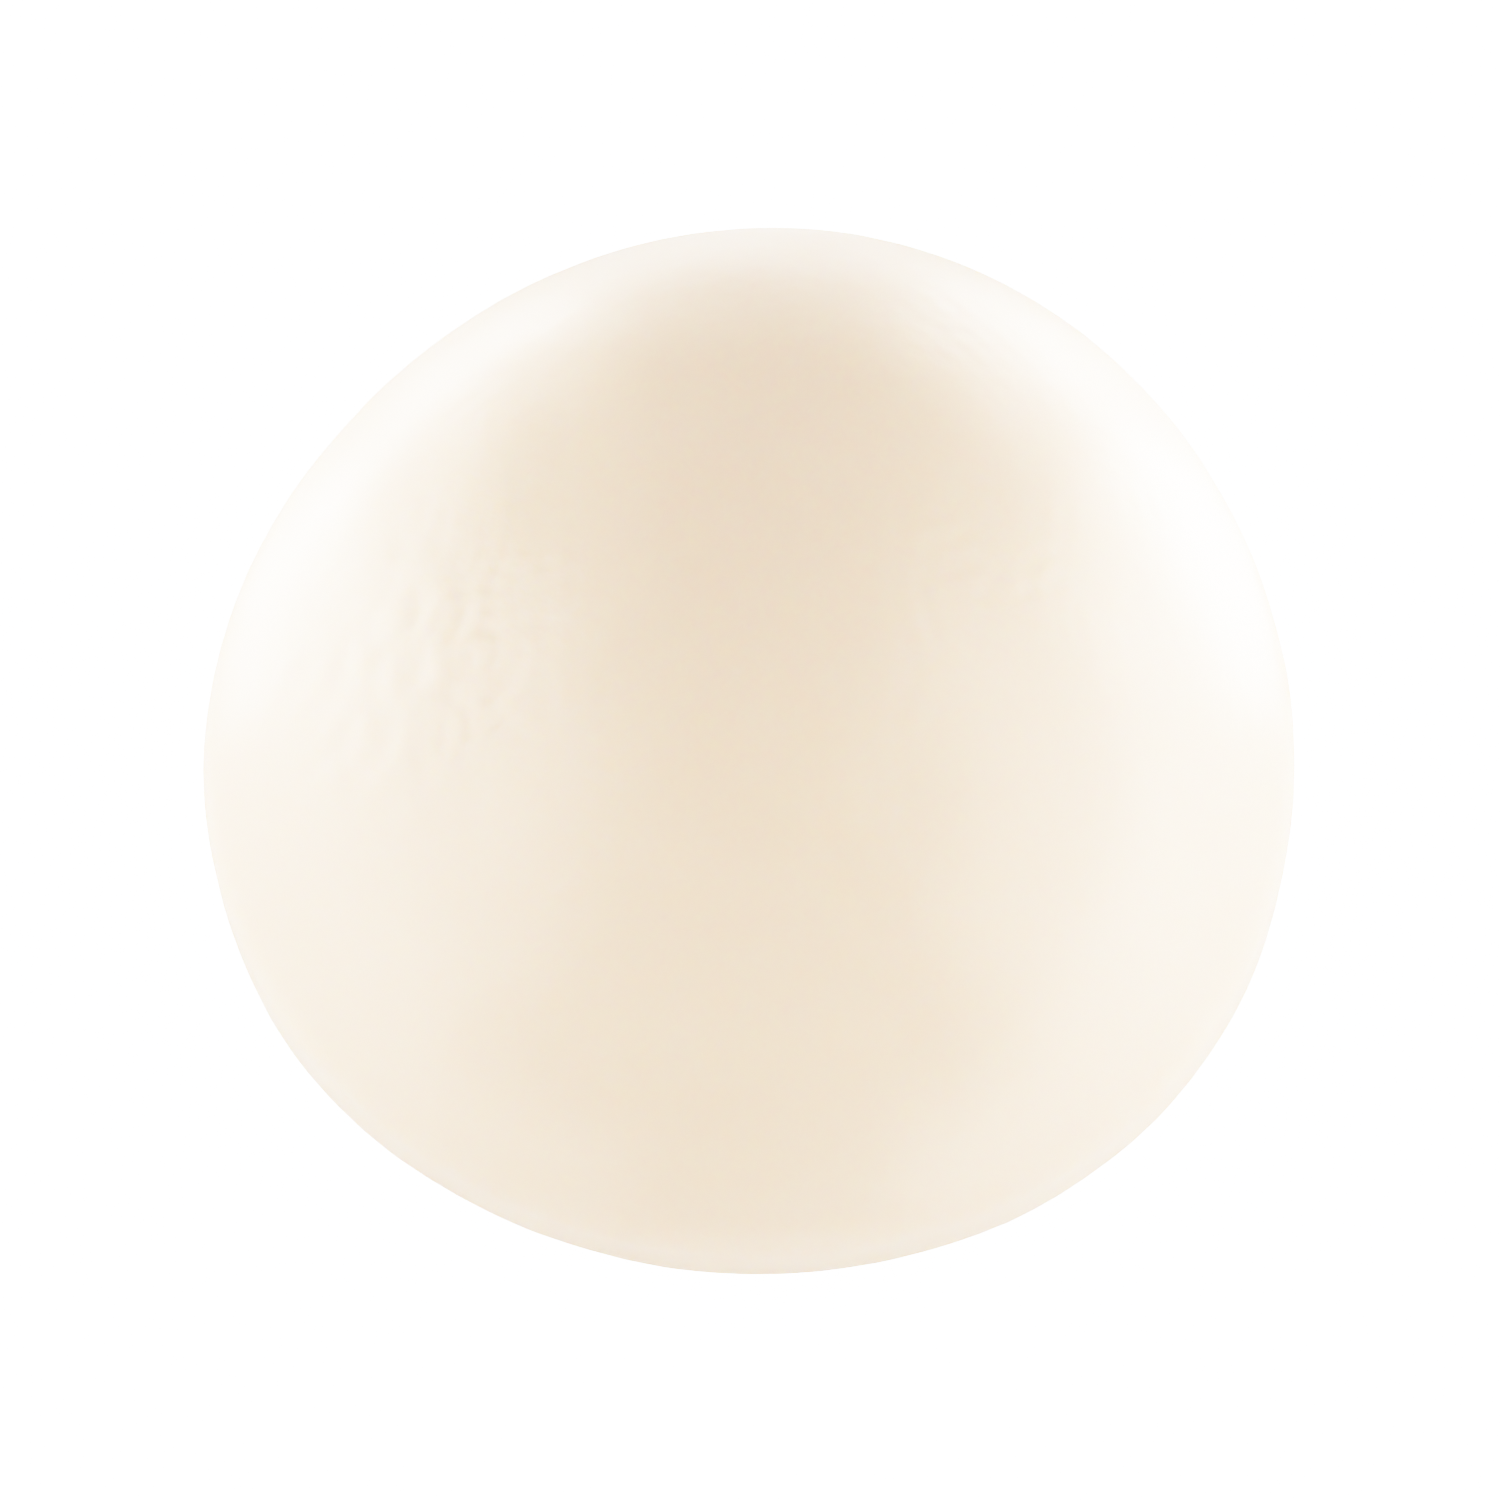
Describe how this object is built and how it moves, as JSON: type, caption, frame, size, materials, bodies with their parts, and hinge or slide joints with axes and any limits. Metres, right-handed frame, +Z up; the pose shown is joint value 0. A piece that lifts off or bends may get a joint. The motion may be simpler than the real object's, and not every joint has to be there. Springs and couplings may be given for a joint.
{
  "type": "shaving soap puck",
  "caption": "Round hard shaving soap bar with a domed lathering face, a soft shoulder, a short side wall and a flat base.",
  "frame": {"origin": "centre of the flat base, on the surface that the puck rests on", "axes": "+Z up along the puck's round axis, from the flat base to the top of the dome; X and Y are free, because the puck is round"},
  "size_m": [0.074, 0.074, 0.028],
  "materials": {
    "soap": "satin"
  },
  "bodies": {
    "root": {"soap_puck": "soap"}
  },
  "joints": []
}
